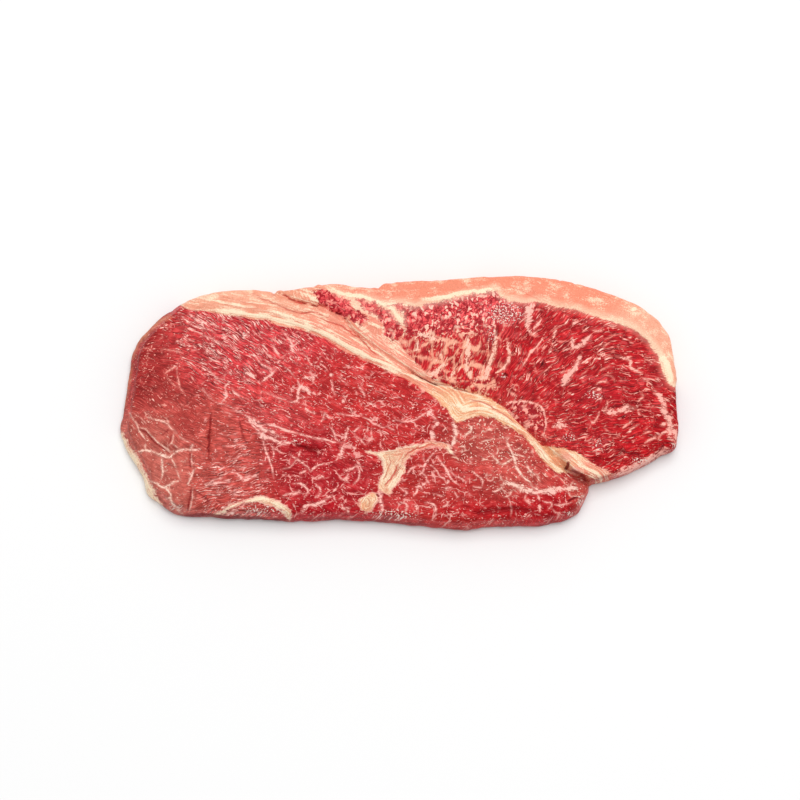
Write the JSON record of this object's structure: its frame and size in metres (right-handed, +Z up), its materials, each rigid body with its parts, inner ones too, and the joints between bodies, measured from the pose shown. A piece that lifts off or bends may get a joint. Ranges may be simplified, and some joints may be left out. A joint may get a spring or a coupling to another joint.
{
  "type": "raw beef rump steak",
  "caption": "Raw marbled beef steak lying flat: two lean muscles joined along a slanting fat seam, with a fat cap along the back edge.",
  "frame": {"origin": "under the middle of the steak's box, on the surface that it lies on", "axes": "+X along the steak, +Y towards the fat cap, +Z up through its thickness"},
  "size_m": [0.2776, 0.1262, 0.0208],
  "materials": {
    "steak": "moist raw meat"
  },
  "bodies": {
    "root": {"steak": "steak"}
  },
  "joints": []
}
